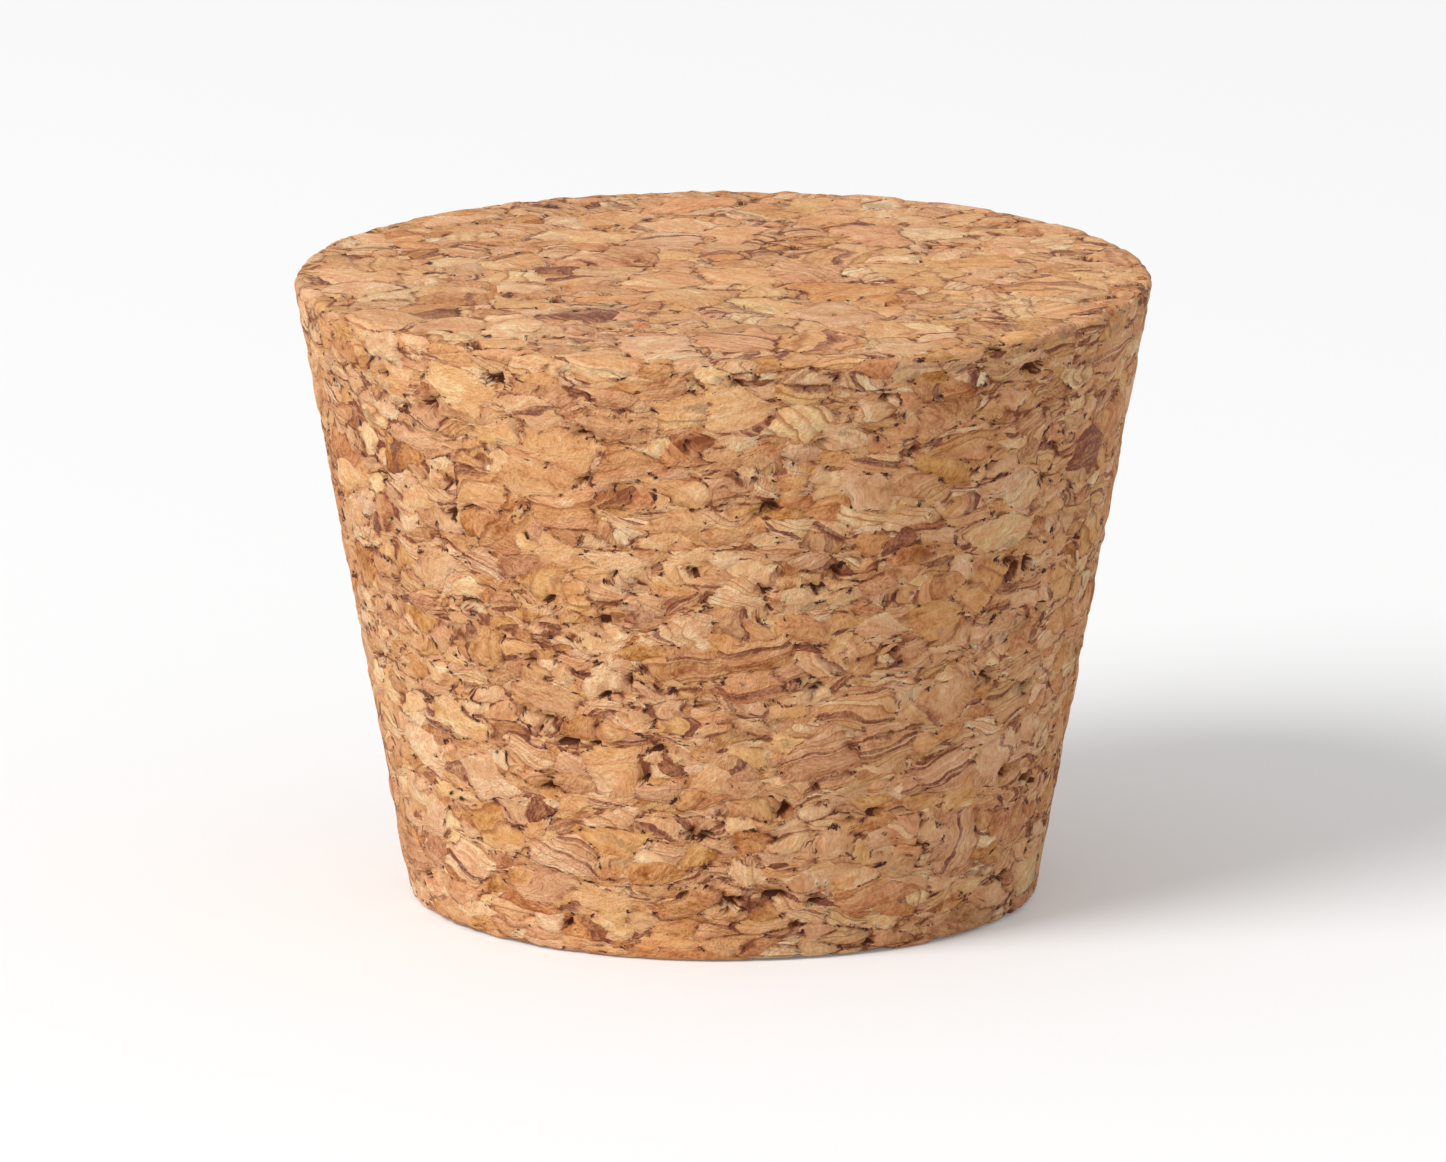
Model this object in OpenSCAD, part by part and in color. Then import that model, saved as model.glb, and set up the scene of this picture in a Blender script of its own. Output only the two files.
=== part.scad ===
// Tapered cork stopper: one piece of pressed cork granules, ground to a cone and standing on its small end.
// Millimetres, +Z up. The origin is the centre of the small end face.

/* [Stopper body] */
// Diameter of the large end, where the side would meet the end face in a sharp corner
large_d = 41; // [24:0.5:80]
// Diameter of the small end, where the side would meet the end face in a sharp corner
small_d = 30; // [16:0.5:60]
// Height from the small end face to the large end face
height = 30; // [15:0.5:60]

/* [Rims] */
// Radius of the eased edge round the large end
large_rim_r = 0.5; // [0.2:0.1:2]
// Radius of the eased edge round the small end
small_rim_r = 0.4; // [0.2:0.1:2]

/* [Voids between the granules] */
// Spacing of the places where grinding can cut a void open
void_pitch = 4.5; // [3:0.1:6]
// Width of the widest voids
void_w = 0.8; // [0.4:0.1:1.4]
// Depth of a void below the ground surface
void_depth = 0.5; // [0.2:0.1:1]
// Length of a void along the pressed layers, for a width of 1
void_stretch = 1.5; // [1:0.1:2]

/* [Hidden] */

cork_colour = [0.81, 0.62, 0.42];
round_segments = 180;

// Angle between the side and the axis
taper = atan2((large_d - small_d) / 2, height);
// Unit vector square to the side, pointing out of the cork, as [radius, z]
side_normal = [cos(taper), -sin(taper)];

// Radius of the side at height z, as a sharp cone
function side_r(z) = small_d / 2 + z * tan(taper);

// Centre of a round of radius r that touches the side from within, at height z
function rim_centre(r, z) = [side_r(z) - r / cos(taper), z];

small_rim = rim_centre(small_rim_r, small_rim_r);
large_rim = rim_centre(large_rim_r, height - large_rim_r);

// Share of the places that hold a void
void_share = 0.65;
// How far a void strays in its place, as a share of the spacing
void_stray = 0.7;
// Width of the narrowest voids, as a share of the widest
void_least = 0.5;
// A void has from 3 to 5 walls
fewest_walls = 3;
most_walls = 5;
// The outer rings of places stay this far from a rim, so no void reaches it
void_margin = void_w * void_stretch / 2 + void_pitch * void_stray / 2;

// Places are numbered ring by ring: the side's rings first, then those of the large end and of the small end
places_a_ring = 100;
large_end_ring = 100;
small_end_ring = 200;

// What is left to chance at each place
HOLDS = 1;
TURN = 2;
SLIDE = 3;
WALLS = 4;
WIDTH = 5;
SPIN = 6;

// A scattered number from 0 to 1 for one trait of one place: the far digits of a sine
place_step = 71.3;
trait_step = 113.7;
far_digits = 10000;
function chance(place, trait) =
    let (v = far_digits * sin(place_step * place + trait_step * trait)) v - floor(v);

// Half of the section through the axis: flat ends, a straight side and an eased edge at each rim
module half_section() {
    polygon([
        [0, 0],
        [small_rim.x, 0],
        small_rim + small_rim_r * side_normal,
        large_rim + large_rim_r * side_normal,
        [large_rim.x, height],
        [0, height],
    ]);
    translate(small_rim) circle(r = small_rim_r, $fn = round_segments);
    translate(large_rim) circle(r = large_rim_r, $fn = round_segments);
}

// One void with upright walls, open at z = 0 and longer along Y by stretch
module void_pocket(place, stretch) {
    walls = fewest_walls + floor((most_walls - fewest_walls + 1) * chance(place, WALLS));
    half_w = void_w / 2 * (void_least + (1 - void_least) * chance(place, WIDTH));
    spin = 360 * chance(place, SPIN);
    linear_extrude(height = 2 * void_depth, center = true)
        polygon([
            for (k = [0:1:walls - 1])
                let (a = spin + 360 * k / walls)
                    [half_w * cos(a), half_w * stretch * sin(a)]
        ]);
}

// Voids on one ring of places round the axis, in a surface that faces outwards and up by the angle lean
module void_ring(ring, r, z, lean, stretch) {
    places = floor(2 * PI * r / void_pitch);
    for (step = [0:1:places - 1]) {
        place = places_a_ring * ring + step;
        if (chance(place, HOLDS) < void_share)
            rotate([0, 0, 360 / places * (step + void_stray * (chance(place, TURN) - 0.5))])
                translate([r, 0, z])
                    rotate([0, 90 - lean, 0])
                        translate([void_pitch * void_stray * (chance(place, SLIDE) - 0.5), 0, 0])
                            void_pocket(place, stretch);
    }
}

// Rings of voids up the side, clear of both rims
module side_voids() {
    room = height - small_rim_r - large_rim_r - 2 * void_margin;
    steps = max(1, floor(room / void_pitch));
    for (ring = [0:1:steps]) {
        z = small_rim_r + void_margin + room * ring / steps;
        void_ring(ring, side_r(z), z, -taper, void_stretch);
    }
}

// Rings of voids on an end face of radius face_r at height z, clear of its centre
module end_voids(first_ring, face_r, z, lean) {
    rings = floor((face_r - void_margin) / void_pitch);
    for (ring = [1:1:rings])
        void_ring(first_ring + ring, (face_r - void_margin) * ring / rings, z, lean, 1);
}

module stopper() {
    color(cork_colour)
        difference() {
            rotate_extrude($fn = round_segments)
                half_section();
            side_voids();
            end_voids(large_end_ring, large_rim.x, height, 90);
            end_voids(small_end_ring, small_rim.x, 0, -90);
        }
}

stopper();
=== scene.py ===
import math

import bpy
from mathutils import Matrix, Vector


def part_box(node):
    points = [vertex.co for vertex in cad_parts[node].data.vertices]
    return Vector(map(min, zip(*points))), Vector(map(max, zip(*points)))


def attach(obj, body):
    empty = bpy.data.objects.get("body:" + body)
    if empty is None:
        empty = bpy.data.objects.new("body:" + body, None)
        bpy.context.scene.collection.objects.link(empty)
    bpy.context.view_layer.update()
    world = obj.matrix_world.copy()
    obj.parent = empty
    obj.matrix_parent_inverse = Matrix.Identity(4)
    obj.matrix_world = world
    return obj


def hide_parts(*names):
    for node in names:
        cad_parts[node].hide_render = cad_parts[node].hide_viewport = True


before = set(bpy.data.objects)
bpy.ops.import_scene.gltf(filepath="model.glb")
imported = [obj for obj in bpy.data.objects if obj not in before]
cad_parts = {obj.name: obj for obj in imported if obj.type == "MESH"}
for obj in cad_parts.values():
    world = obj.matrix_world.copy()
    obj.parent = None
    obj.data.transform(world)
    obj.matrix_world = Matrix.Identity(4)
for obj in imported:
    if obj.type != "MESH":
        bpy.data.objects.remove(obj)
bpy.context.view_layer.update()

# Stopper body.
# One tapered plug of cork granules, pressed flat with a little glue, punched out and ground to a cone.
# It stands on its small end. Grinding cuts through the granules, so their layers, seams and voids all show.

MM = 0.001

LARGE_RADIUS = 20.5 * MM
SMALL_RADIUS = 15.0 * MM
HEIGHT = 30.0 * MM
LARGE_RIM = 0.5 * MM
SMALL_RIM = 0.4 * MM

VOID_DEPTH = 0.5 * MM
SEAM_DEPTH = 0.14 * MM
GRANULE_STEP = 0.11 * MM

# Steps across each end face; the side has four times as many round it, so the surfaces meet point to point
STEPS_ACROSS = 124
STEPS_ROUND = 4 * STEPS_ACROSS
STEPS_UP = 122
SMALL_RIM_STEPS = 3
LARGE_RIM_STEPS = 4

# Voids that the grinding cut open: spacing of the places where one can lie, and width of the widest
VOID_PITCH = 4.5 * MM
VOID_WIDTH = 0.8 * MM
# Length of a void along the pressed layers, for a width of 1
VOID_STRETCH = 1.5
# Share of the places that hold a void
VOID_SHARE = 0.65
# How far a void strays in its place, as a share of the spacing
VOID_STRAY = 0.7
# Width of the narrowest voids, as a share of the widest
VOID_LEAST = 0.5
FEWEST_WALLS = 3
MOST_WALLS = 5

# Places are numbered ring by ring: the side's rings first, then those of the large end and of the small end
PLACES_A_RING = 100
LARGE_END_RING = 100
SMALL_END_RING = 200

# What is left to chance at each place
HOLDS = 1
TURN = 2
SLIDE = 3
WALLS = 4
WIDTH = 5
SPIN = 6

PLACE_STEP = 71.3
TRAIT_STEP = 113.7
FAR_DIGITS = 10000


def drawn(place, trait):
    """A scattered number from 0 to 1 for one trait of one place: the far digits of a sine."""
    spread = FAR_DIGITS * math.sin(math.radians(PLACE_STEP * place + TRAIT_STEP * trait))
    return spread - math.floor(spread)


def void_ring(ring, radius, z, lean, stretch):
    """The voids on one ring of places, in a surface that faces outwards and up by the angle lean."""
    voids = []
    places = math.floor(2 * math.pi * radius / VOID_PITCH)
    for step in range(places):
        place = PLACES_A_RING * ring + step
        if drawn(place, HOLDS) < VOID_SHARE:
            turn = 2 * math.pi / places * (step + VOID_STRAY * (drawn(place, TURN) - 0.5))
            out = Vector((math.cos(turn), math.sin(turn), 0.0))
            down = out * math.sin(lean) - Vector((0.0, 0.0, math.cos(lean)))
            slide = VOID_PITCH * VOID_STRAY * (drawn(place, SLIDE) - 0.5)
            walls = FEWEST_WALLS + math.floor((MOST_WALLS - FEWEST_WALLS + 1) * drawn(place, WALLS))
            voids.append({
                "middle": out * radius + Vector((0.0, 0.0, z)) + down * slide,
                "down": down,
                "along": Vector((-math.sin(turn), math.cos(turn), 0.0)) / stretch,
                "half_width": VOID_WIDTH / 2 * (VOID_LEAST + (1 - VOID_LEAST) * drawn(place, WIDTH)),
                "sector": 2 * math.pi / walls,
                "spin": 2 * math.pi * drawn(place, SPIN),
            })
    return voids


# What a void's point carries: the ways down and along the surface, and the void's outline
VOID_TRAITS = {
    "down": "FLOAT_VECTOR",
    "along": "FLOAT_VECTOR",
    "half_width": "FLOAT",
    "sector": "FLOAT",
    "spin": "FLOAT",
}


def open_voids():
    """All voids as a mesh of loose points, one at each void's middle, with the void's traits."""
    taper = math.atan2(LARGE_RADIUS - SMALL_RADIUS, HEIGHT)
    margin = VOID_WIDTH * VOID_STRETCH / 2 + VOID_PITCH * VOID_STRAY / 2

    def side_radius(z):
        """Radius of the side at a height, as a sharp cone."""
        return SMALL_RADIUS + z * math.tan(taper)

    def face_radius(rim, z):
        """Radius of an end face, up to where its eased rim starts; z is the height of the rim's centre."""
        return side_radius(z) - rim / math.cos(taper)

    room = HEIGHT - SMALL_RIM - LARGE_RIM - 2 * margin
    steps = max(1, math.floor(room / VOID_PITCH))
    voids = []
    for ring in range(steps + 1):
        z = SMALL_RIM + margin + room * ring / steps
        voids += void_ring(ring, side_radius(z), z, -taper, VOID_STRETCH)
    ends = (
        (LARGE_END_RING, face_radius(LARGE_RIM, HEIGHT - LARGE_RIM), HEIGHT, math.pi / 2),
        (SMALL_END_RING, face_radius(SMALL_RIM, SMALL_RIM), 0.0, -math.pi / 2),
    )
    for first_ring, radius, z, lean in ends:
        rings = math.floor((radius - margin) / VOID_PITCH)
        for ring in range(1, rings + 1):
            voids += void_ring(first_ring + ring, (radius - margin) * ring / rings, z, lean, 1.0)

    points = bpy.data.meshes.new("open_voids")
    points.from_pydata([void["middle"] for void in voids], [], [])
    for name, kind in VOID_TRAITS.items():
        column = points.attributes.new(name, kind, "POINT")
        field = "vector" if kind == "FLOAT_VECTOR" else "value"
        for spot, void in zip(column.data, voids):
            setattr(spot, field, void[name])
    return points


def outlet(tree, kind, feeds, which=0, **settings):
    """Adds a node, sets it up, feeds its inputs by name or number and returns one of its outlets."""
    node = tree.nodes.new(kind)
    for name, value in settings.items():
        setattr(node, name, value)
    for key, value in feeds.items():
        if isinstance(value, bpy.types.NodeSocket):
            tree.links.new(value, node.inputs[key])
        else:
            node.inputs[key].default_value = value
    return node.outputs[which]


def tree_of(values):
    """The node tree that the outlets among some values belong to."""
    return next(v.id_data for v in values if isinstance(v, bpy.types.NodeSocket))


def num(operation, *values):
    """One sum with numbers, on outlets or plain values."""
    return outlet(tree_of(values), "ShaderNodeMath", dict(enumerate(values)), operation=operation)


def product(first, *others):
    """Several numbers multiplied."""
    for other in others:
        first = num("MULTIPLY", first, other)
    return first


def lowest(first, *others):
    """The lowest of several numbers."""
    for other in others:
        first = num("MINIMUM", first, other)
    return first


def vary(value, wave, amount):
    """A value moved up or down by a wave from 0 to 1, which has the value itself at a half."""
    return num("MULTIPLY_ADD", num("SUBTRACT", wave, 0.5), amount, value)


def vec(operation, *values):
    """One sum with vectors, on outlets or plain values."""
    which = "Value" if operation in ("DOT_PRODUCT", "LENGTH") else "Vector"
    feeds = dict(enumerate(values))
    if operation == "SCALE":
        feeds = {0: values[0], "Scale": values[1]}
    return outlet(tree_of(values), "ShaderNodeVectorMath", feeds, which, operation=operation)


def centred(chance):
    """Three chance numbers from 0 to 1, moved to run from minus a half to a half."""
    return vec("SUBTRACT", chance, (0.5, 0.5, 0.5))


def fade(value, start, end, at_start=0.0, at_end=1.0, way="SMOOTHSTEP"):
    """A value carried from one range to another, held at both ends."""
    feeds = {"Value": value, 1: start, 2: end, 3: at_start, 4: at_end}
    return outlet(tree_of([value, start, end]), "ShaderNodeMapRange", feeds, interpolation_type=way)


def fall(value, start, end):
    """From 1 at the start of a range down to 0 at its end."""
    return fade(value, start, end, 1.0, 0.0)


def mix_number(part, first, second):
    """The first number, or the second where part is 1."""
    feeds = {0: part, 2: first, 3: second}
    return outlet(tree_of([part]), "ShaderNodeMix", feeds, 0, data_type="FLOAT")


def mix_vector(part, first, second):
    """The first vector, or the second where part is 1."""
    feeds = {0: part, 4: first, 5: second}
    return outlet(tree_of([part]), "ShaderNodeMix", feeds, 1, data_type="VECTOR")


def waves(place, size, detail, which="Fac", rough=0.5):
    """Soft random waves of about this size in millimetres: one number, or three as a colour."""
    feeds = {"Vector": place, "Scale": 1.0 / size, "Detail": detail, "Roughness": rough}
    return outlet(tree_of([place]), "ShaderNodeTexNoise", feeds, which, noise_dimensions="3D")


def swing(place, size, detail, far):
    """A random push of up to about half of far each way, in waves of this size."""
    return vec("SCALE", centred(waves(place, size, detail, "Color")), far)


def apart(vector):
    """The three numbers of a vector or a colour."""
    return outlet(tree_of([vector]), "ShaderNodeSeparateXYZ", {0: vector}).node.outputs


# How much longer than tall the pressing makes a granule
FLATTENING = 2.35

# How much finer the granules are between the end faces than at them
FINER = 1.15

# Three grades of granules: the size in millimetres, how squat they are and where their pattern starts
BIG = {"size": 3.6, "squat": 0.85, "shift": (3.1, 8.7, 1.9)}
MIDDLE = {"size": 2.05, "squat": 1.05, "shift": (13.3, 2.2, 7.4)}
BITS = {"size": 0.9, "squat": 1.2, "shift": (5.8, 17.1, 11.6)}

# Share of the two larger grades that is there, and the half sizes of the block that each is broken to
BIG_CHIPS = {"share": 0.45, "block": (0.70, 0.56, 0.46)}
MIDDLE_CHIPS = {"share": 0.92, "block": (0.85, 0.68, 0.55)}

# The depth that stands for no granule at all
NO_GRANULE = -9.0

# Waves in the granules' outlines and in the voids' edges, in millimetres
OUTLINE_WAVES = {"size": 0.6, "detail": 3.0, "far": 0.44}
RAGGED_WAVES = {"size": 0.6, "detail": 2.0}
RAGGED_REACH = 0.9

# How much tighter the seams are on the end faces
TIGHTER_SEAMS = 0.8

# Share of the bits that is missing, where the bed is tight and where it is loose
MISSING_TIGHT = 0.02
MISSING_LOOSE = 0.12

# Fields that the mesh carries, so that its relief and the colours of the finish lie in the same places
CARRIED = {
    "pressed_bed": "FLOAT_VECTOR",
    "void_edge": "FLOAT",
    "broad_face": "FLOAT",
    "loose_bed": "FLOAT",
}


def grade(place, size, squat, shift):
    """One grade, packed tight: distance from a granule's edge, its chance numbers, the way from its heart."""
    moved = vec("MULTIPLY_ADD", place, (1.0, 1.0, squat), shift)
    feeds = {"Vector": moved, "Scale": 1.0 / size, "Randomness": 1.0}
    tree = tree_of([place])
    heart = outlet(tree, "ShaderNodeTexVoronoi", feeds, "Position", feature="F1")
    edge = outlet(tree, "ShaderNodeTexVoronoi", feeds, "Distance", feature="DISTANCE_TO_EDGE")
    return num("MULTIPLY", edge, size), heart.node.outputs["Color"], vec("SUBTRACT", moved, heart)


def chipped(place, size, squat, shift, share, block):
    """A share of one grade, each granule a block turned its own way: depth in it, chance numbers, way."""
    edge, chance, way = grade(place, size, squat, shift)
    feeds = {"Vector": way, "Rotation": vec("SCALE", chance, 2 * math.pi)}
    turned = outlet(tree_of([place]), "ShaderNodeVectorRotate", feeds, rotation_type="EULER_XYZ")
    room = apart(vec("SUBTRACT", [half * size for half in block], vec("ABSOLUTE", turned)))
    held = num("LESS_THAN", apart(chance)[0], share)
    return mix_number(held, NO_GRANULE, lowest(edge, *room)), chance, way


def granules(spot):
    """The granules at a spot: chance numbers, way from the heart, bent place, gap to the seam, pit, grade."""
    bed = spot["pressed_bed"]
    bent = vec("ADD", bed, swing(bed, **OUTLINE_WAVES))

    big_depth, big_chance, big_way = chipped(bent, **BIG, **BIG_CHIPS)
    mid_depth, mid_chance, mid_way = chipped(bent, **MIDDLE, **MIDDLE_CHIPS)
    bit_edge, bit_chance, bit_way = grade(bent, **BITS)
    in_big = num("GREATER_THAN", big_depth, 0.0)
    in_mid = num("GREATER_THAN", mid_depth, 0.0)

    def of_grade(mix, bit, mid, big):
        """What holds for the grade that a spot lies in: big granules first, then middle ones, then bits."""
        return mix(in_big, mix(in_mid, bit, mid), big)

    off_big = num("MULTIPLY", big_depth, -1.0)
    off_mid = num("MULTIPLY", mid_depth, -1.0)
    gap = of_grade(mix_number, lowest(bit_edge, off_mid, off_big), lowest(mid_depth, off_big), big_depth)
    chance = of_grade(mix_vector, bit_chance, mid_chance, big_chance)
    way = of_grade(mix_vector, bit_way, mid_way, big_way)

    # The end faces are cut along the pressed layers, where the seams are tight
    gap = num("MULTIPLY", gap, num("MULTIPLY_ADD", spot["broad_face"], TIGHTER_SEAMS, 1.0))

    # Where the bed is loose, bits are missing between the granules
    in_grain = num("MAXIMUM", in_mid, in_big)
    share = fade(spot["loose_bed"], 0.4, 0.65, MISSING_TIGHT, MISSING_LOOSE)
    missing = num("LESS_THAN", num("ADD", apart(bit_chance)[1], in_grain), share)
    pit = num("MULTIPLY", missing, fade(gap, 0.0, 0.1))

    # The voids have ragged edges, and the granules end there
    ragged = vary(spot["void_edge"], waves(bed, **RAGGED_WAVES), RAGGED_REACH)
    ragged = num("ADD", ragged, fade(gap, 0.0, 0.3, -0.12, 0.12))
    ragged = num("MULTIPLY_ADD", spot["broad_face"], 0.06, ragged)
    pit = num("MAXIMUM", pit, fall(ragged, -0.06, 0.06))
    gap = num("MINIMUM", gap, num("MAXIMUM", ragged, 0.0))
    return {
        "chance": chance,
        "way": way,
        "bent": bent,
        "gap": gap,
        "pit": pit,
        "in_mid": in_mid,
        "in_big": in_big,
    }


# Tones of bare cork along a run from 0, dark, to 1, pale, in the eight bit numbers of a picture
CORK_TONES = (
    (0.00, (140, 80, 47)),
    (0.20, (176, 116, 76)),
    (0.38, (200, 144, 102)),
    (0.52, (212, 158, 114)),
    (0.68, (221, 171, 130)),
    (0.85, (230, 193, 150)),
    (1.00, (238, 213, 174)),
)

# What stains the cork, and the painted shade at its seams, gaps and voids, in the same numbers
GROWTH_LINE = (142, 78, 40)
BARK = (118, 62, 50)
DULL_CORK = (128, 92, 62)
PAINTED_SEAM_SHADE = (142, 78, 43)
RIND = (112, 56, 40)
GLUE = (108, 50, 22)
PAINTED_GAP_SHADE = (58, 25, 13)
PAINTED_VOID_SHADE = (92, 44, 22)

# How strongly some of the stains, and the painted shade in the voids, show
LINE_STRENGTH = 0.66
DULL_STRENGTH = 0.5
RIND_STRENGTH = 0.6
PAINTED_VOID_SHADE_STRENGTH = 0.95

# Patterns in the cork: the size of their waves in millimetres and how much finer detail they have
CRUMBS = {"size": 0.5, "detail": 3.0, "rough": 0.68}
SPECKS = {"size": 0.17, "detail": 1.0}
FIBRES = {"size": 0.75, "detail": 3.0, "rough": 0.62}
DRIFT = {"size": 2.4, "detail": 1.0}
SEAM_LOOSENESS_WAVES = {"size": 0.8, "detail": 1.0}

# Fibres are drawn out along the layers and closed up across them
FIBRES_ALONG = 0.45
FIBRES_ACROSS = 1.6

# How far apart in the drift two granules lie
DRIFT_APART = 40.0

# Growth layers: the thinnest in millimetres, their ripple, how far they tend to lie flat, where their count
# starts, and the step from one layer's chance numbers to the next
THINNEST_LAYER = 0.38
LAYER_RIPPLE = {"size": 1.5, "detail": 3.0, "far": 0.8}
LIE_FLAT = 1.3
FIRST_LAYER = 7.3
LAYER_SEED = (0.37, 0.71, 0.13)

# A granule's place on the run of tones, and how far chance and each pattern move a spot from there.
# A pair is for the side and for the end faces.
MEAN_TONE = (0.52, 0.56)
GRANULE_SPREAD = (0.46, 0.3)
SPECK_SPREAD = (0.52, 0.45)
CRUMB_SPREAD = 0.65
LAYER_SPREAD = 0.24
FIBRE_SPREAD = 0.65
DRIFT_SPREAD = 0.6

# Least hue and saturation, where a half and 1 leave a tone as it is, and what chance adds
LEAST_HUE = 0.492
MORE_HUE = 0.01
LEAST_SATURATION = 0.98
MORE_SATURATION = 0.12

# Share of each grade that is bark, with such a pair for the bits
BARKY_BITS = (0.17, 0.07)
BARKY_MIDDLE = 0.008
BARKY_BIG = 0.002

# How far a granule's surface turns at its edge, with such a pair, and how far a granule slants
EDGE_TURN = (0.28, 0.55)
SLANT = 0.35


def colour(red, green, blue):
    """A colour given in the eight bit numbers of a picture, as light."""
    shares = (red / 255, green / 255, blue / 255)
    light = [c / 12.92 if c <= 0.04045 else ((c + 0.055) / 1.055) ** 2.4 for c in shares]
    return (*light, 1.0)


def stain_or_shade(under, over, part):
    """One colour over another, as far as part says; it lays stains and painted shade alike."""
    feeds = {0: part, 6: under, 7: colour(*over)}
    return outlet(tree_of([part]), "ShaderNodeMix", feeds, 2, data_type="RGBA")


def tones(place, stops):
    """The tone at a place along a run of them."""
    run = outlet(tree_of([place]), "ShaderNodeValToRGB", {0: place})
    ramp = run.node.color_ramp
    while len(ramp.elements) < len(stops):
        ramp.elements.new(0.5)
    for element, (at, tone) in zip(ramp.elements, stops):
        element.position = at
        element.color = colour(*tone)
    return run


def chances(seed):
    """Three fresh chance numbers from a seed vector."""
    feeds = {"Vector": seed}
    return outlet(tree_of([seed]), "ShaderNodeTexWhiteNoise", feeds, "Color", noise_dimensions="3D")


def cork_finish():
    """Ground cork: each granule has a tone of its own, growth layers, dark seams and pits, with painted shade
    at the seams, gaps and pits.
    """
    cork = bpy.data.materials.new("ground_cork")
    cork.use_nodes = True
    tree = cork.node_tree
    shader = tree.nodes["Principled BSDF"]

    spot = {}
    for name, kind in CARRIED.items():
        which = "Vector" if kind == "FLOAT_VECTOR" else "Fac"
        spot[name] = outlet(tree, "ShaderNodeAttribute", {}, which, attribute_name=name)
    bed = spot["pressed_bed"]

    def by_face(pair):
        """The first of a pair of numbers on the side, and the second on the end faces."""
        on_side, on_end = pair
        return fade(spot["broad_face"], 0.2, 0.9, on_side, on_end)

    grain = granules(spot)
    gap = grain["gap"]
    first_lots = apart(grain["chance"])
    more = chances(grain["chance"])
    lots = apart(more)

    # Growth layers lie across a direction of the granule's own and ripple
    lean = vec("NORMALIZE", vec("MULTIPLY", centred(more), (1.0, 1.0, LIE_FLAT)))
    along = vec("DOT_PRODUCT", vec("ADD", bed, swing(bed, **LAYER_RIPPLE)), lean)
    thick = num("ADD", num("MULTIPLY", lots[1], lots[1]), THINNEST_LAYER)
    count = num("ADD", num("DIVIDE", along, thick), FIRST_LAYER)
    rise = num("FRACT", count)
    layer_seed = vec("SCALE", LAYER_SEED, num("FLOOR", count))
    layer_lots = apart(chances(vec("ADD", grain["chance"], layer_seed)))
    ringed = fade(lots[2], 0.3, 0.65)
    line = num("MULTIPLY", fade(rise, 0.62, 0.92), fall(rise, 0.94, 1.0))
    line = product(line, ringed, fade(layer_lots[2], 0.2, 0.9, 0.25, 1.0))

    # Fine fibres run with the layers, and each granule drifts in tone
    with_layers = vec("SCALE", bed, FIBRES_ALONG)
    across_layers = vec("SCALE", lean, num("MULTIPLY", along, FIBRES_ACROSS))
    fibre = waves(vec("ADD", with_layers, across_layers), **FIBRES)
    own_place = vec("ADD", grain["bent"], vec("SCALE", grain["chance"], DRIFT_APART))
    drift = waves(own_place, **DRIFT)

    # Pores and crumbs are as tall as they are wide
    even = vec("MULTIPLY", bed, (1.0, 1.0, FINER / FLATTENING))
    crumb = waves(even, **CRUMBS)
    speck = waves(even, **SPECKS)

    place = vary(by_face(MEAN_TONE), lots[0], by_face(GRANULE_SPREAD))
    place = vary(place, crumb, CRUMB_SPREAD)
    place = vary(place, speck, by_face(SPECK_SPREAD))
    place = vary(place, layer_lots[0], num("MULTIPLY", ringed, LAYER_SPREAD))
    place = vary(place, fibre, FIBRE_SPREAD)
    place = vary(place, drift, DRIFT_SPREAD)
    feeds = {
        "Color": tones(place, CORK_TONES),
        "Hue": num("MULTIPLY_ADD", num("ADD", first_lots[2], layer_lots[2]), MORE_HUE, LEAST_HUE),
        "Saturation": num("MULTIPLY_ADD", lots[1], MORE_SATURATION, LEAST_SATURATION),
    }
    body = outlet(tree, "ShaderNodeHueSaturation", feeds)
    body = stain_or_shade(body, GROWTH_LINE, num("MULTIPLY", line, LINE_STRENGTH))

    # Bark left in the cork: a layer here and there, and a few whole bits, are dark red brown
    bark = product(fade(layer_lots[1], 0.87, 0.89), fade(rise, 0.2, 0.45), fade(lots[2], 0.2, 0.5))
    barky = mix_number(grain["in_mid"], by_face(BARKY_BITS), BARKY_MIDDLE)
    barky = mix_number(grain["in_big"], barky, BARKY_BIG)
    bark = num("MAXIMUM", bark, num("LESS_THAN", lots[0], barky))
    ripe = vary(fibre, speck, 0.5)
    body = stain_or_shade(body, BARK, num("MULTIPLY", bark, fade(ripe, 0.3, 0.68, 1.0, 0.4)))

    # In patches, on some granules, the cork goes a dull brown
    patch = vary(drift, crumb, 0.5)
    dull = num("MULTIPLY", fade(patch, 0.62, 0.74), fade(first_lots[2], 0.5, 0.8))
    body = stain_or_shade(body, DULL_CORK, num("MULTIPLY", dull, DULL_STRENGTH))

    # Seams between the granules: painted shade along them, a rind of bark here and there, glue, and dots of
    # painted shade where they gape
    seam_looseness = vary(waves(grain["bent"], **SEAM_LOOSENESS_WAVES), speck, 0.45)
    seam_looseness = vary(seam_looseness, spot["loose_bed"], 0.55)
    # Painted shade that darkens the cork towards each seam
    painted_seam_shade = num("MULTIPLY", fall(gap, 0.0, 0.4), fade(seam_looseness, 0.38, 0.72, 0.0, 0.55))
    body = stain_or_shade(body, PAINTED_SEAM_SHADE, painted_seam_shade)
    rind = product(fall(gap, 0.05, 0.3), fade(seam_looseness, 0.60, 0.74), RIND_STRENGTH)
    body = stain_or_shade(body, RIND, rind)
    seam_width = num("MULTIPLY_ADD", seam_looseness, 0.35, -0.05)
    seam = num("MULTIPLY", fall(gap, 0.01, seam_width), fade(seam_looseness, 0.46, 0.74, 0.0, 0.9))
    body = stain_or_shade(body, GLUE, num("MULTIPLY", seam, fade(crumb, 0.4, 0.58, 0.45, 1.0)))
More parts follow.
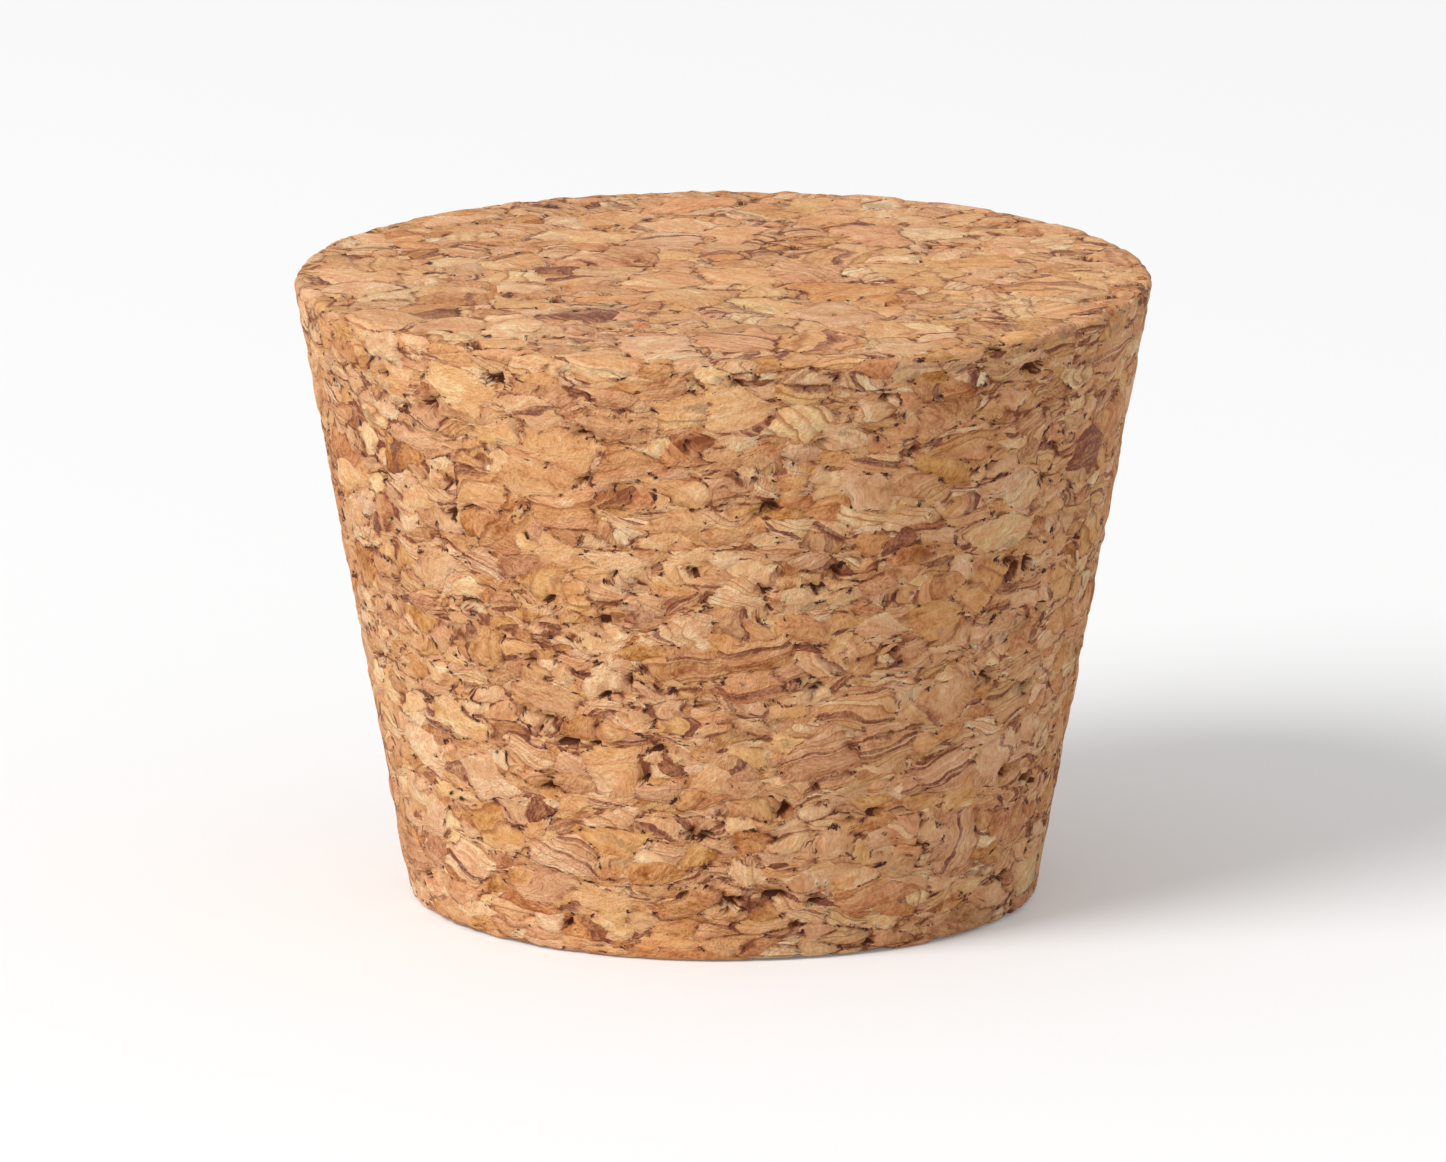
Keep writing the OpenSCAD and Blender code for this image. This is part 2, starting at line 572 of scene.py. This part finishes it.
    # Dark dots of painted shade, where the seams gape
    painted_gap_shade = product(fall(gap, 0.12, 0.36), fade(crumb, 0.57, 0.62), fade(seam_looseness, 0.44, 0.54))
    body = stain_or_shade(body, PAINTED_GAP_SHADE, painted_gap_shade)
    # Painted shade in the pits and voids
    body = stain_or_shade(body, PAINTED_VOID_SHADE, num("MULTIPLY", grain["pit"], PAINTED_VOID_SHADE_STRENGTH))

    tree.links.new(body, shader.inputs["Base Color"])
    tree.links.new(fade(crumb, 0.3, 0.7, 0.9, 0.72), shader.inputs["Roughness"])
    shader.inputs["Specular IOR Level"].default_value = 0.25

    # The granules are rounded off at their seams, and each is cut at a slight slant of its own
    away = vec("NORMALIZE", vec("MULTIPLY", grain["way"], (1.0, 1.0, FLATTENING / FINER)))
    edge_turn = fade(gap, 0.0, 0.3, by_face(EDGE_TURN), 0.0)
    tilt = vec("ADD", vec("SCALE", away, edge_turn), vec("SCALE", centred(grain["chance"]), SLANT))
    tilt = outlet(tree, "ShaderNodeVectorTransform", {0: tilt}, vector_type="VECTOR", convert_from="OBJECT",
                  convert_to="WORLD")
    normal = vec("NORMALIZE", vec("ADD", outlet(tree, "ShaderNodeNewGeometry", {}, "Normal"), tilt))
    relief = num("MULTIPLY_ADD", speck, 0.4, crumb)
    feeds = {"Height": relief, "Strength": 0.9, "Distance": 0.18 * MM, "Normal": normal}
    tree.links.new(outlet(tree, "ShaderNodeBump", feeds, "Normal"), shader.inputs["Normal"])
    return cork


# The flat map has the side in strips, each an equal part of the way round, and the two end faces
MAP_EDGE = 0.01
SECOND_COLUMN = 0.51
SECOND_ROW = 0.345
THIRD_ROW = 0.675
SIDE_STRIPS = 3
STRIP_WIDTH = 0.475
STRIP_HEIGHT = 0.32
TOP_WIDTH = 0.46
BASE_WIDTH = 0.32

# Rounds of easing that take the creases out of an end face's grid, and the share of its reach that is eased
EASING_ROUNDS = 60
EASED_REACH = 0.999

# Points closer than this are one point
JOIN_DISTANCE = 0.001 * MM

# How far from each end face the bed changes over to the finer granules of the side
CHANGE_OVER = 5.0 * MM

# Sway of the pressed layers, mostly up and down and less at the ends, and the kneading of the bed
SWAY = {"size": 3.6, "detail": 1.0, "far": 3.6}
SWAY_WAYS = (0.35, 0.35, 1.0)
SWAY_AT_ENDS = 0.42
KNEADING = {"size": 2.4, "detail": 1.0, "far": 1.1}

# Waves from tight to loose in the bed, and how far from a seam the surface sinks, in millimetres
LOOSENESS = {"size": 5.0, "detail": 1.0}
SEAM_REACH = 0.28


def ground_body():
    """The ground cone as Geometry Nodes: side and end faces, joined, then sunk along the granules' edges."""
    tree = bpy.data.node_groups.new("ground_body", "GeometryNodeTree")
    tree.is_modifier = True
    sizes = {
        "Large radius": LARGE_RADIUS,
        "Small radius": SMALL_RADIUS,
        "Height": HEIGHT,
        "Large rim": LARGE_RIM,
        "Small rim": SMALL_RIM,
        "Void depth": VOID_DEPTH,
        "Seam depth": SEAM_DEPTH,
        "Granule step": GRANULE_STEP,
    }
    tree.interface.new_socket("Voids", in_out="INPUT", socket_type="NodeSocketGeometry")
    settings = {}
    for name, size in sizes.items():
        socket = tree.interface.new_socket(name, in_out="INPUT", socket_type="NodeSocketFloat")
        settings[socket.identifier] = size
    tree.interface.new_socket("Cork", in_out="OUTPUT", socket_type="NodeSocketGeometry")
    given = tree.nodes.new("NodeGroupInput").outputs

    # Section through the axis: rim centres at both ends and the angle of the side
    taper = num("ARCTAN2", num("SUBTRACT", given["Large radius"], given["Small radius"]), given["Height"])
    slope = num("TANGENT", taper)
    secant = num("DIVIDE", 1.0, num("COSINE", taper))

    def rim_centre(rim, z):
        """Radius of the centre of an eased rim at a height."""
        side_radius = num("MULTIPLY_ADD", z, slope, given["Small radius"])
        return num("SUBTRACT", side_radius, num("MULTIPLY", rim, secant))

    low_z = given["Small rim"]
    high_z = num("SUBTRACT", given["Height"], given["Large rim"])
    low_r = rim_centre(given["Small rim"], low_z)
    high_r = rim_centre(given["Large rim"], high_z)

    def point(x, y, z):
        """A vector from its three numbers."""
        return outlet(tree, "ShaderNodeCombineXYZ", {0: x, 1: y, 2: z})

    def named(name, kind):
        """A field that a mesh carries."""
        return outlet(tree, "GeometryNodeInputNamedAttribute", {"Name": name}, data_type=kind)

    def keep(mesh, name, kind, value, domain="POINT"):
        """The mesh with one more field to carry."""
        feeds = {"Geometry": mesh, "Name": name, "Value": value}
        return outlet(tree, "GeometryNodeStoreNamedAttribute", feeds, data_type=kind, domain=domain)

    def sheet(across, up, place, map_spot):
        """A grid laid on a surface, which carries the way out of it and its flat map."""
        mesh = outlet(tree, "GeometryNodeMeshGrid", {"Vertices X": across + 1, "Vertices Y": up + 1})
        u, v, _ = apart(mesh.node.outputs["UV Map"])
        spot, normal = place(u, v)
        mesh = keep(mesh, "outward", "FLOAT_VECTOR", normal)
        mesh = keep(mesh, "OFBake", "FLOAT2", map_spot(u, v), "CORNER")
        return outlet(tree, "GeometryNodeSetPosition", {"Geometry": mesh, "Position": spot})

    def on_side(u, v):
        """A spot on the side and its eased rims, round by u and up by v, and the way out of it."""
        low = SMALL_RIM_STEPS / STEPS_UP
        high = 1.0 - LARGE_RIM_STEPS / STEPS_UP
        first = fade(v, 0.0, low, way="LINEAR")
        last = fade(v, high, 1.0, way="LINEAR")
        between = fade(v, low, high, way="LINEAR")
        quarter = math.pi / 2
        tilt = num("MULTIPLY_ADD", first, num("SUBTRACT", quarter, taper), -quarter)
        tilt = num("MULTIPLY_ADD", last, num("ADD", quarter, taper), tilt)
        rim = mix_number(between, given["Small rim"], given["Large rim"])
        out = num("COSINE", tilt)
        up = num("SINE", tilt)
        radius = num("MULTIPLY_ADD", rim, out, mix_number(between, low_r, high_r))
        z = num("MULTIPLY_ADD", rim, up, mix_number(between, low_z, high_z))
        turn = num("MULTIPLY", u, 2 * math.pi)
        east = num("COSINE", turn)
        north = num("SINE", turn)
        spot = point(num("MULTIPLY", radius, east), num("MULTIPLY", radius, north), z)
        return spot, point(num("MULTIPLY", out, east), num("MULTIPLY", out, north), up)

    def on_end(radius, z, way):
        """An end face from a square grid drawn out to a disc; way is 1 if it faces up and -1 if down."""
        def place(u, v):
            a = num("MULTIPLY_ADD", u, 2.0, -1.0)
            b = num("MULTIPLY_ADD", v, 2.0, -1.0)
            wide = num("GREATER_THAN", num("ABSOLUTE", a), num("ABSOLUTE", b))
            eighth = math.pi / 4
            turn_wide = num("MULTIPLY", num("DIVIDE", b, a), eighth)
            turn_tall = num("MULTIPLY_ADD", num("DIVIDE", a, b), -eighth, 2 * eighth)
            turn = mix_number(wide, turn_tall, turn_wide)
            far = num("MULTIPLY", mix_number(wide, b, a), radius)
            x = num("MULTIPLY", far, num("COSINE", turn))
            y = num("MULTIPLY", far, num("SINE", turn))
            spot = point(x, y, z)

            # The grid is eased inside its rim, which itself stays where it is
            share = num("MAXIMUM", num("ABSOLUTE", a), num("ABSOLUTE", b))
            inside = num("LESS_THAN", share, EASED_REACH)
            feeds = {0: spot, "Iterations": EASING_ROUNDS, "Weight": inside}
            spot = outlet(tree, "GeometryNodeBlurAttribute", feeds, data_type="FLOAT_VECTOR")
            return spot, point(0.0, 0.0, way)
        return place

    def side_map(u, v):
        """The side's place on the flat map: two strips side by side, and the third above the first."""
        face_u = outlet(tree, "GeometryNodeFieldOnDomain", {0: u}, data_type="FLOAT", domain="FACE")
        strip = num("FLOOR", num("MULTIPLY", face_u, SIDE_STRIPS))
        x = num("SUBTRACT", num("MULTIPLY", u, SIDE_STRIPS), strip)
        second = num("COMPARE", strip, 1.0, 0.5)
        third = num("COMPARE", strip, 2.0, 0.5)
        x = num("MULTIPLY_ADD", x, STRIP_WIDTH, mix_number(second, MAP_EDGE, SECOND_COLUMN))
        y = num("MULTIPLY_ADD", v, STRIP_HEIGHT, mix_number(third, MAP_EDGE, SECOND_ROW))
        return point(x, y, 0.0)

    def end_map(width, left, bottom):
        """An end face's place on the flat map."""
        def map_spot(u, v):
            spot, _ = on_end(0.5, 0.0, 1.0)(u, v)
            return vec("ADD", vec("SCALE", spot, width), (left + width / 2, bottom + width / 2, 0.0))
        return map_spot

    side = sheet(STEPS_ROUND, STEPS_UP, on_side, side_map)
    top_map = end_map(TOP_WIDTH, SECOND_COLUMN, SECOND_ROW)
    top = sheet(STEPS_ACROSS, STEPS_ACROSS, on_end(high_r, given["Height"], 1.0), top_map)
    base_map = end_map(BASE_WIDTH, MAP_EDGE, THIRD_ROW)
    base = sheet(STEPS_ACROSS, STEPS_ACROSS, on_end(low_r, 0.0, -1.0), base_map)
    base = outlet(tree, "GeometryNodeFlipFaces", {"Mesh": base})

    joined = tree.nodes.new("GeometryNodeJoinGeometry")
    for mesh in (side, top, base):
        tree.links.new(mesh, joined.inputs[0])
    feeds = {"Geometry": joined.outputs[0], "Distance": JOIN_DISTANCE}
    whole = outlet(tree, "GeometryNodeMergeByDistance", feeds)

    # How far a spot lies outside the edge of the nearest void, in millimetres
    position = outlet(tree, "GeometryNodeInputPosition", {})
    nearest = outlet(tree, "GeometryNodeSampleNearest", {"Geometry": given["Voids"]})

    def there(value, kind):
        """A value at the nearest void."""
        feeds = {"Geometry": given["Voids"], "Value": value, "Index": nearest}
        return outlet(tree, "GeometryNodeSampleIndex", feeds, data_type=kind)

    trait = {name: there(named(name, kind), kind) for name, kind in VOID_TRAITS.items()}
    way = vec("SUBTRACT", position, there(position, "FLOAT_VECTOR"))
    down = vec("DOT_PRODUCT", way, trait["down"])
    along = vec("DOT_PRODUCT", way, trait["along"])
    half_sector = num("MULTIPLY", trait["sector"], 0.5)
    bearing = num("SUBTRACT", num("ARCTAN2", along, down), trait["spin"])
    bearing = num("SUBTRACT", num("WRAP", bearing, trait["sector"], 0.0), half_sector)
    reach = num("MULTIPLY", vec("LENGTH", point(down, along, 0.0)), num("COSINE", bearing))
    edge = num("SUBTRACT", reach, num("MULTIPLY", trait["half_width"], num("COSINE", half_sector)))
    edge = num("MAXIMUM", edge, num("SUBTRACT", vec("LENGTH", way), VOID_WIDTH * VOID_STRETCH / 2))
    whole = keep(whole, "void_edge", CARRIED["void_edge"], num("DIVIDE", edge, MM))

    # How squarely a spot faces along the axis
    outward = vec("NORMALIZE", named("outward", "FLOAT_VECTOR"))
    whole = keep(whole, "broad_face", CARRIED["broad_face"], num("ABSOLUTE", apart(outward)[2]))

    # The bed of granules, in millimetres before the pressing: finer along the side, swayed and kneaded
    height = apart(position)[2]
    from_base = fade(height, 0.0, CHANGE_OVER)
    from_top = fade(num("SUBTRACT", given["Height"], height), 0.0, CHANGE_OVER)
    waist = num("MULTIPLY", from_base, from_top)
    spread = num("MULTIPLY_ADD", waist, FINER - 1.0, 1.0)
    pressed = vec("MULTIPLY", vec("SCALE", position, 1.0 / MM), point(spread, spread, FLATTENING))
    sway = vec("MULTIPLY", swing(pressed, **SWAY), SWAY_WAYS)
    sway = vec("SCALE", sway, fade(waist, 0.0, 1.0, SWAY_AT_ENDS, 1.0, "LINEAR"))
    bed = vec("ADD", pressed, sway)
    bed = vec("ADD", bed, swing(bed, **KNEADING))
    whole = keep(whole, "pressed_bed", CARRIED["pressed_bed"], bed)
    whole = keep(whole, "loose_bed", CARRIED["loose_bed"], waves(bed, **LOOSENESS))

    # Seams sink along the granules' edges, each granule stands a little lower or higher, and pits go deepest
    grain = granules({name: named(name, kind) for name, kind in CARRIED.items()})
    sunk = num("MULTIPLY", fall(grain["gap"], 0.0, SEAM_REACH), given["Seam depth"])
    sunk = num("MULTIPLY_ADD", apart(grain["chance"])[2], given["Granule step"], sunk)
    sunk = outlet(tree, "GeometryNodeBlurAttribute", {0: sunk, "Iterations": 1}, data_type="FLOAT")
    sunk = num("MULTIPLY_ADD", grain["pit"], given["Void depth"], sunk)
    inward = vec("SCALE", outward, num("MULTIPLY", sunk, -1.0))
    whole = outlet(tree, "GeometryNodeSetPosition", {"Geometry": whole, "Offset": inward})
    whole = outlet(tree, "GeometryNodeSetShadeSmooth", {"Geometry": whole, "Shade Smooth": True})
    whole = outlet(tree, "GeometryNodeRealizeInstances", {"Geometry": whole})
    whole = outlet(tree, "GeometryNodeSetMaterial", {"Geometry": whole, "Material": cork_finish()})
    end = tree.nodes.new("NodeGroupOutput")
    tree.links.new(whole, end.inputs[0])
    return tree, settings


stopper = bpy.data.objects.new("cork_stopper", open_voids())
bpy.context.collection.objects.link(stopper)
grinding = stopper.modifiers.new("grinding", "NODES")
grinding.node_group, settings = ground_body()
for identifier, size in settings.items():
    grinding[identifier] = size
ground = stopper.evaluated_get(bpy.context.evaluated_depsgraph_get())
finished = bpy.data.meshes.new_from_object(ground)
finished.name = "cork_stopper"
stopper.modifiers.remove(grinding)
stopper.data = finished

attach(stopper, "root")
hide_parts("stopper")

# Floor.
# A plain white sheet of matt board that the stopper stands on.
# To the camera it is lifted to white, and it keeps the soft shadow.

FLOOR_REACH = 3.0
FLOOR_WHITE = 0.82
FLOOR_LIFT = 0.14


def seen_by(surface):
    """1 where the camera sees a surface, straight or in a shine or glass, and 0 where it only gives light."""
    path = outlet(surface.node_tree, "ShaderNodeLightPath", {}).node.outputs
    mirrored = num("MAXIMUM", path["Is Glossy Ray"], path["Is Transmission Ray"])
    return num("MAXIMUM", path["Is Camera Ray"], mirrored)


corners = [(x * FLOOR_REACH, y * FLOOR_REACH, 0.0) for x, y in ((-1, -1), (1, -1), (1, 1), (-1, 1))]
board = bpy.data.meshes.new("floor")
board.from_pydata(corners, [], [(0, 1, 2, 3)])
floor = bpy.data.objects.new("floor", board)
bpy.context.collection.objects.link(floor)
white_board = bpy.data.materials.new("white_board")
white_board.use_nodes = True
paint = white_board.node_tree.nodes["Principled BSDF"]
paint.inputs["Base Color"].default_value = (FLOOR_WHITE, FLOOR_WHITE, FLOOR_WHITE, 1.0)
paint.inputs["Roughness"].default_value = 0.9
paint.inputs["Specular IOR Level"].default_value = 0.0
paint.inputs["Emission Color"].default_value = (1.0, 1.0, 1.0, 1.0)
lift = num("MULTIPLY", seen_by(white_board), FLOOR_LIFT)
white_board.node_tree.links.new(lift, paint.inputs["Emission Strength"])
board.materials.append(white_board)

# Light.
# Soft studio light: an even white room, and one large soft lamp at the upper left, in front of the stopper.
# The lamp points at the middle of the stopper's height.

ROOM_LIGHT = 0.55
ROOM_WHITE = 1.0
MIDDLE_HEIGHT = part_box("stopper")[1].z * 0.5

room = bpy.data.worlds.new("white_room")
bpy.context.scene.world = room
room.use_nodes = True
walls = room.node_tree.nodes["Background"]
walls.inputs["Color"].default_value = (1.0, 1.0, 1.0, 1.0)
strength = fade(seen_by(room), 0.0, 1.0, ROOM_LIGHT, ROOM_WHITE, "LINEAR")
room.node_tree.links.new(strength, walls.inputs["Strength"])

softbox = bpy.data.lights.new("softbox", "AREA")
softbox.shape = "DISK"
softbox.size = 1.1
softbox.energy = 34.0
lamp = bpy.data.objects.new("softbox", softbox)
bpy.context.collection.objects.link(lamp)
lamp.location = (-1.25, -0.95, 1.3)
toward = Vector((0.0, 0.0, MIDDLE_HEIGHT)) - lamp.location
lamp.rotation_euler = toward.to_track_quat("-Z", "Y").to_euler()

# Camera.
# A long lens in front of the stopper, which looks down on it at 12.7 degrees, as in the photograph.

PICTURE_WIDTH = 1446
PIXELS_PER_MM = 21.0
SENSOR = 36.0
DISTANCE = 0.82
ELEVATION = math.radians(12.7)

lens = bpy.data.cameras.new("camera")
lens.sensor_fit = "HORIZONTAL"
lens.sensor_width = SENSOR
lens.lens = PIXELS_PER_MM * (DISTANCE / MM) * SENSOR / PICTURE_WIDTH
camera = bpy.data.objects.new("camera", lens)
bpy.context.collection.objects.link(camera)
camera.location = (0.0, -DISTANCE * math.cos(ELEVATION), MIDDLE_HEIGHT + DISTANCE * math.sin(ELEVATION))
camera.rotation_euler = (math.pi / 2 - ELEVATION, 0.0, 0.0)
bpy.context.scene.camera = camera
bpy.context.scene.view_settings.view_transform = "Standard"
